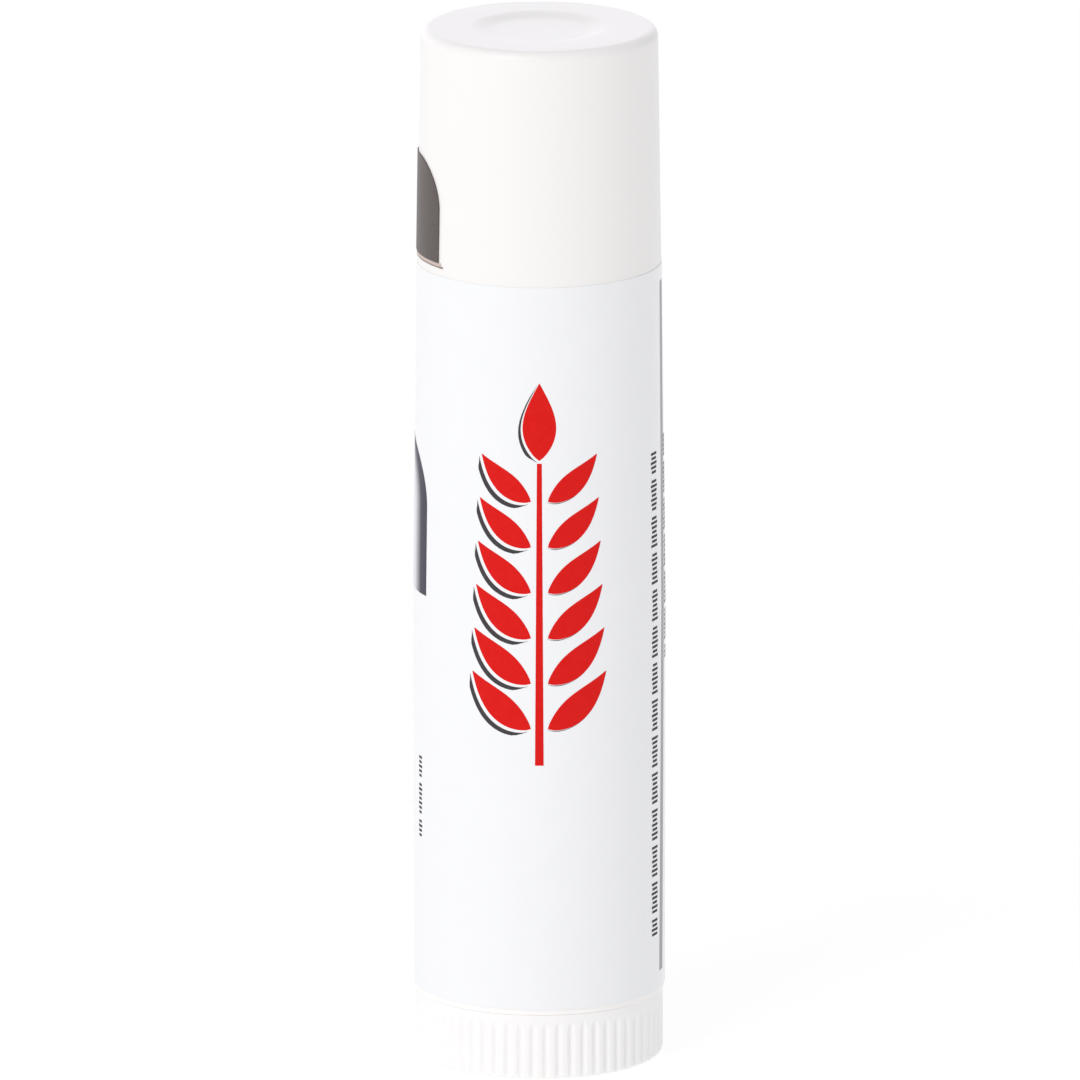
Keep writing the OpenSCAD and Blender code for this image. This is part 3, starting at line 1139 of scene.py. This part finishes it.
@dataclass
class Screw:
    """The moulded screw: a left-hand thread on a round core, its snap collar, journal and the drive
    that is pressed into the dial. Millimetres."""

    lead: float = 3.75
    thread: float = 2.3
    core: float = 1.5
    crest_degrees: float = 40
    foot_degrees: float = 80
    drive: float = 2.35
    drive_high: float = 5.2
    journal: float = 2.5
    journal_low: float = 5.5
    collar: float = 2.85
    collar_low: float = 6.92
    collar_wall: float = 0.5
    collar_high: float = 7.92
    cone: float = 2.4
    # The bare end above the thread, and the heights over which the thread starts and ends
    bare_end: float = 0.3
    run_in: float = 0.6
    run_out: float = 0.8
    rows_per_turn: int = 26
    columns: int = 96

    def __post_init__(self) -> None:
        """Takes the screw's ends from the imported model."""
        self.low_z, self.top_z = reach("spindle")

    def shell(self) -> Shell:
        """Turns the shaft, with the thread as a ridge whose angle goes with the height.

        On the threaded rows the radius is the core's plus the ridge's height times a smoothed
        trapezoid of a + 360 z / lead - 180, with a the angle, which makes the thread left-handed.

        Returns:
            The closed shell.
        """
        low, high = self.low_z / MM, self.top_z / MM
        shaft = rounded([
            (0, low, 0), (self.drive, low, 0.2), (self.drive, self.drive_high, 0.1),
            (self.journal, self.journal_low, 0.1), (self.journal, self.collar_low, 0.05),
            (self.collar, self.collar_low, 0.08), (self.collar, self.collar_low + self.collar_wall, 0.1),
            (self.cone, self.collar_high, 0.1), (self.core, self.collar_high, 0)], steps=5)
        count = int((high - self.collar_high) / self.lead * self.rows_per_turn)
        thread_z = np.linspace(self.collar_high + 0.02, high - self.bare_end - 0.05, count)
        threaded = np.stack([np.full_like(thread_z, self.core), thread_z], axis=1) * MM
        tip = np.array([[self.core * 0.8, high - 0.1], [self.core * 0.4, high], [0, high]]) * MM
        radius, height = np.split(np.concatenate([shaft, threaded, tip]), 2, axis=1)
        z = height / MM
        phase = (360 * np.arange(self.columns) / self.columns + 360 * z / self.lead) % 360
        flank = self.foot_degrees - self.crest_degrees
        ridge = smooth_step((self.foot_degrees - np.abs(phase - 180)) / flank)
        ends = smooth_step((z - self.collar_high) / self.run_in)
        ends = ends * smooth_step((high - self.bare_end - z) / self.run_out)
        on_thread = np.zeros_like(z)
        on_thread[len(shaft):len(shaft) + count] = 1
        return turned(radius + (self.thread - self.core) * MM * ridge * on_thread * ends, height)

    def build(self) -> None:
        """Builds and dresses the screw."""
        add_piece("screw", self.shell(), SCREW_PLASTIC, Body.DIAL, Slot.SCREW, "spindle")


@dataclass
class Balm:
    """The stick of wax, its slots for the guide ribs, the well round the screw, and the slight dip
    that it set with, and the cup that carries it. Millimetres."""

    cup_wall: float = 0.6
    cup_low: float = 8.22
    cup_floor: float = 0.8
    cup_height: float = 7.5
    nut: float = 3.3
    nut_height: float = 6.5
    pour_gap: float = 0.02
    well: float = 2.45
    well_top: float = 60.52
    well_edge: float = 0.3
    corner: float = 0.1
    small_corner: float = 0.05
    edge: float = 0.7
    dip: float = 0.22
    slot_gap: float = 0.1

    def __post_init__(self) -> None:
        """Takes the wax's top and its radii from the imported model."""
        self.top_z = reach("balm")[1]
        self.radius = outer_radius("balm") / MM
        self.foot = outer_radius("carrier_cup") / MM - self.cup_wall - self.pour_gap
        self.rim = self.cup_low + self.cup_height + self.pour_gap

    def outline(self) -> np.ndarray:
        """Outline from the well's end down round the cup's nut and up the side to the top.

        The top sinks from its rim to the middle as a cosine, as wax does when it sets.

        Returns:
            Rows of radius and height.
        """
        top, nut = self.top_z / MM, self.nut + self.pour_gap
        nut_top = self.cup_low + self.nut_height + self.pour_gap
        floor = self.cup_low + self.cup_floor + self.pour_gap
        inside = rounded([
            (0, self.well_top, 0), (self.well, self.well_top, self.well_edge),
            (self.well, nut_top, self.small_corner), (nut, nut_top, self.corner),
            (nut, floor, self.corner), (self.foot, floor, self.corner),
            (self.foot, self.rim, self.small_corner), (self.radius, self.rim, self.corner),
            (self.radius, top, self.edge), (self.radius - 2 * self.edge, top, 0)])
        share = np.linspace(1, 0, 24)
        flat = (self.radius - 1.2 * self.edge) * share
        sunk = top - self.dip * (0.5 + 0.5 * np.cos(math.pi * share))
        return np.concatenate([inside[:-1], np.stack([flat, sunk], axis=1) * MM])

    def shell(self) -> Shell:
        """Turns the outline, then presses the slots for the guide ribs into the rows of its side.

        Returns:
            The closed shell.
        """
        radius, height = np.split(self.outline(), 2, axis=1)
        slot = rib_profile(3 * ROUND, self.radius * MM, GUIDES, GUIDE_W + 2 * self.slot_gap, GUIDE_FLANK)
        slot_floor = (self.radius - GUIDE_H - self.slot_gap) * MM
        on_side = (height > (self.rim + 0.001) * MM) & (radius > (self.radius - 0.75) * MM)
        return turned(radius - np.maximum(radius - slot_floor, 0) * slot * on_side, height)

    def build(self) -> None:
        """Builds and dresses the wax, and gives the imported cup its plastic."""
        add_piece("balm_stick", self.shell(), BALM_WAX, Body.CARRIER, Slot.BALM, "balm")
        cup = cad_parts["carrier_cup"]
        cup.data.materials.clear()
        cup.data.materials.append(CUP_PLASTIC.material())
        log.info("carrier_cup keeps its packed mesh")


@dataclass
class Cap:
    """The push-on cap: a tapered shell with a rounded top edge, a dished dimple and grip ribs inside,
    and the torn tamper tab on its side. Millimetres, angles from the front."""

    taper: float = 0.44
    edge: float = 0.6
    top: float = 1.1
    wall: float = 0.62
    ceiling_edge: float = 0.3
    # How far the rim reaches down to close the seam
    drop: float = 0.0798
    dimple: float = 4.5
    dimple_slope: float = 1.5
    dimple_depth: float = 0.24
    grips: int = 6
    grip_w: float = 0.8
    grip_h: float = 0.1
    grip_flank: float = 0.15
    grip_rise: float = 3.42
    grip_end: float = 0.2
    tab_w: float = 8.0
    tab_corner: float = 3.1
    tab_side: float = -85
    tab_glue: float = 0.01
    tab_film: float = 0.08
    tear_film: float = 0.04
    # Lines below the tab: how much wider than the tab, height, and the middle's depth below it
    tears: tuple[tuple[str, float, float, float, PrintedInk], ...] = (
        ("tamper_tear_pale", 0.4, 0.2, 0.11, TAB_TEAR),
        ("tamper_line_brown", 0.9, 0.1, 0.26, TAB_LINE_BROWN))

    def __post_init__(self) -> None:
        """Takes the cap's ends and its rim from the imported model."""
        self.low_z, self.top_z = reach("cap")
        low_r = outer_radius("cap")
        self.side = Wall(low_r, low_r - self.taper / 2 * MM, self.low_z, self.top_z)
        self.bore_r = self.side.top_r - self.wall * MM

    def top_rows(self) -> np.ndarray:
        """Outline of the top from the rounded edge to the axis: flat, then down into the dimple.

        The dimple's wall goes down as a smooth step between its rim and its flat floor.

        Returns:
            Rows of radius and height, the last on the axis.
        """
        flat_r = self.side.top_r / MM - self.edge - 0.1
        radius = np.concatenate([np.linspace(flat_r, self.dimple, 6), np.linspace(self.dimple, 0, 60)[1:]])
        share = (self.dimple - radius) / self.dimple_slope
        return np.stack([radius * MM, self.top_z - self.dimple_depth * MM * smooth_step(share)], axis=1)

    def shell(self) -> Shell:
        """Turns the wall's outline, then raises the grip ribs on the upper rows of the bore.

        Returns:
            The closed shell.
        """
        top, low, bore = self.top_z / MM, self.low_z / MM - self.drop, self.bore_r / MM
        ceiling, grip_z = top - self.top, low + self.grip_rise
        wall = rounded([
            (0, ceiling, 0), (bore, ceiling, self.ceiling_edge), (bore, grip_z + self.grip_end, 0),
            (bore, grip_z, 0), (bore, low, 0), (self.side.low_r / MM, low, 0),
            (self.side.top_r / MM, top, self.edge), (1.0, top, 0)], steps=12)
        radius, height = np.split(np.concatenate([wall[:-1], self.top_rows()]), 2, axis=1)
        columns = 2 * ROUND
        rib = rib_profile(columns, self.bore_r, self.grips, self.grip_w, self.grip_flank)
        rib = np.roll(rib, columns // self.grips // 2)
        in_bore = np.abs(radius - self.bore_r) < ON_WALL * MM
        gripping = (height > (grip_z + self.grip_end / 2) * MM) & (height < ceiling * MM)
        return turned(radius - self.grip_h * MM * rib * (in_bore & gripping), height)

    def build(self) -> None:
        """Builds and dresses the cap, the tab and two thin lines below it, a pale one and a brown one."""
        add_piece("cap_cover", self.shell(), CAP_PLASTIC, Body.CAP, Slot.CAP, "cap")
        low, top = reach("tamper_tab")
        across, up = arch_grid(self.tab_w / 2 * MM, self.tab_corner * MM, low, top)
        tab = film(across, up, self.tab_side, self.side, self.tab_glue, self.tab_film)
        add_piece("tamper_tab_film", tab, TAB_FILM, Body.CAP, Slot.TAB, "tamper_tab")
        for name, wider, height, below, tone in self.tears:
            across, up = bar_grid((self.tab_w + wider) * MM, height * MM, low - below * MM)
            line = film(across, up, self.tab_side, self.side, self.tab_glue, self.tear_film)
            add_piece(name, line, tone, Body.CAP, Slot.TAB)


# Floor, light and camera


@dataclass
class Studio:
    """A plain white floor, a soft box, pale walls and a long lens a little above the stick."""

    distance_m: float = 2.0
    elevation_degrees: float = 14.0
    # Pixels of the photograph for one radian of view
    focal_px: float = 31450.0
    frame_px: float = 1080.0
    # The stick's axis in the photograph, and the height at the frame's middle
    axis_px: float = 539.35
    aim_z_mm: float = 33.46
    lamp_place: tuple[float, float, float] = (-0.52, -0.74, 0.63)
    lamp_size: float = 0.5
    lamp_watts: float = 3.1
    # The walls' strength straight ahead, and its change from there to straight right
    wall_strength: float = 0.73
    wall_fall: float = -0.1
    # Direction's part, start and end of a fade, and the glare there: behind, low down, not right
    glare_fades: tuple[tuple[str, float, float, float, float], ...] = (
        ("Y", 0.2, 0.9, 0.0, 1.15), ("Z", 0.25, 0.6, 1.0, 0.0), ("X", 0.15, 0.6, 1.0, 0.0))
    floor_radius_m: float = 1.6
    floor_drop_mm: float = 0.02
    floor_paper: tuple[float, float, float, float] = (0.26, 0.26, 0.26, 1.0)
    floor_glow: float = 0.8

    def __post_init__(self) -> None:
        """Works out the point that the camera and the lamp are aimed at."""
        self.aim = Vector((0, 0, self.aim_z_mm * MM))

    def place_camera(self) -> None:
        """Puts the camera where the photograph was taken from, aimed at the middle of the frame."""
        lens = bpy.data.cameras.new("photo_camera")
        lens.sensor_width = 36.0
        lens.lens = self.focal_px / self.frame_px * lens.sensor_width
        lens.shift_x = (self.frame_px / 2 - self.axis_px) / self.frame_px
        lens.clip_start = 0.1
        lens.clip_end = 10.0
        camera = new_object("photo_camera", lens)
        rise = math.radians(self.elevation_degrees)
        camera.location = self.aim + Vector((0, -math.cos(rise), math.sin(rise))) * self.distance_m
        camera.rotation_euler = (math.pi / 2 - rise, 0, 0)
        bpy.context.scene.camera = camera

    def soft_box(self) -> None:
        """Adds a square area lamp, high on the front's left and aimed at the stick's middle."""
        lamp = bpy.data.lights.new("key_left", "AREA")
        lamp.shape = "RECTANGLE"
        lamp.size = self.lamp_size
        lamp.size_y = self.lamp_size
        lamp.energy = self.lamp_watts
        lamp.color = linear("fffefc")[:3]
        box = new_object("key_left", lamp)
        box.location = self.lamp_place
        box.rotation_euler = (self.aim - box.location).to_track_quat("-Z", "Y").to_euler()

    def world(self) -> None:
        """White for the camera. The stick is lit by walls that are a little darker to the right, and
        its reflections also hold the bright backdrop, low down behind it, which ends on the right."""
        world = bpy.data.worlds.new("studio")
        world.use_nodes = True
        tree = world.node_tree
        tree.nodes.clear()
        path = add_node(tree, "ShaderNodeLightPath")
        direction = add_node(tree, "ShaderNodeSeparateXYZ", {
            0: add_node(tree, "ShaderNodeTexCoord").outputs["Generated"]})
        walls = add_node(tree, "ShaderNodeMath", {
            0: direction.outputs["X"], 1: self.wall_fall, 2: self.wall_strength},
            operation="MULTIPLY_ADD")
        seen = path.outputs["Is Glossy Ray"]
        for part, start, end, before, beyond in self.glare_fades:
            fade = add_node(tree, "ShaderNodeMapRange", {
                "Value": direction.outputs[part], "From Min": start, "From Max": end,
                "To Min": before, "To Max": beyond}, interpolation_type="SMOOTHSTEP")
            seen = add_node(tree, "ShaderNodeMath", {
                0: fade.outputs["Result"], 1: seen}, operation="MULTIPLY").outputs["Value"]
        white = add_node(tree, "ShaderNodeBackground", {"Color": linear("ffffff"), "Strength": 1.0})
        plain = add_node(tree, "ShaderNodeBackground", {
            "Color": linear("fdfcff"), "Strength": walls.outputs["Value"]})
        glare = add_node(tree, "ShaderNodeBackground", {"Color": linear("f8f5ff"), "Strength": seen})
        cove = add_node(tree, "ShaderNodeAddShader", {
            0: plain.outputs["Background"], 1: glare.outputs["Background"]})
        both = add_node(tree, "ShaderNodeMixShader", {
            0: path.outputs["Is Camera Ray"], 1: cove.outputs["Shader"], 2: white.outputs["Background"]})
        add_node(tree, "ShaderNodeOutputWorld", {"Surface": both.outputs["Shader"]})
        bpy.context.scene.world = world

    def floor(self) -> None:
        """A round white floor that keeps a faint part of the stick's shadow."""
        angle = TURN * np.arange(96) / 96
        edge = self.floor_radius_m * np.stack([np.cos(angle), np.sin(angle)], axis=1)
        ring = np.pad(edge, ((0, 0), (0, 1)), constant_values=-self.floor_drop_mm * MM)
        mesh = bpy.data.meshes.new("floor")
        mesh.from_pydata(ring.tolist(), [], [tuple(range(len(ring)))])
        material, tree = new_material("floor_white")
        # The glow and the lamp's and walls' light on the paper add up to white
        paper = add_node(tree, "ShaderNodeBsdfDiffuse", {"Color": self.floor_paper})
        glow = add_node(tree, "ShaderNodeEmission", {
            "Color": linear("ffffff"), "Strength": self.floor_glow})
        both = add_node(tree, "ShaderNodeAddShader", {
            0: paper.outputs["BSDF"], 1: glow.outputs["Emission"]})
        add_node(tree, "ShaderNodeOutputMaterial", {"Surface": both.outputs["Shader"]})
        mesh.materials.append(material)
        new_object("floor", mesh)

    def build(self) -> None:
        """Sets up the camera, the lamp, the world and the floor."""
        self.place_camera()
        self.soft_box()
        self.world()
        self.floor()
        bpy.context.scene.view_settings.view_transform = "Standard"


def main() -> None:
    """Builds the studio, then each sub-assembly from the foot up."""
    logging.basicConfig(level=logging.INFO, format="%(name)s: %(message)s")
    Studio().build()
    barrel = Barrel()
    Dial().build()
    Screw().build()
    Balm().build()
    barrel.build()
    Label().build(barrel)
    Cap().build()


if __name__ == "__main__":
    main()
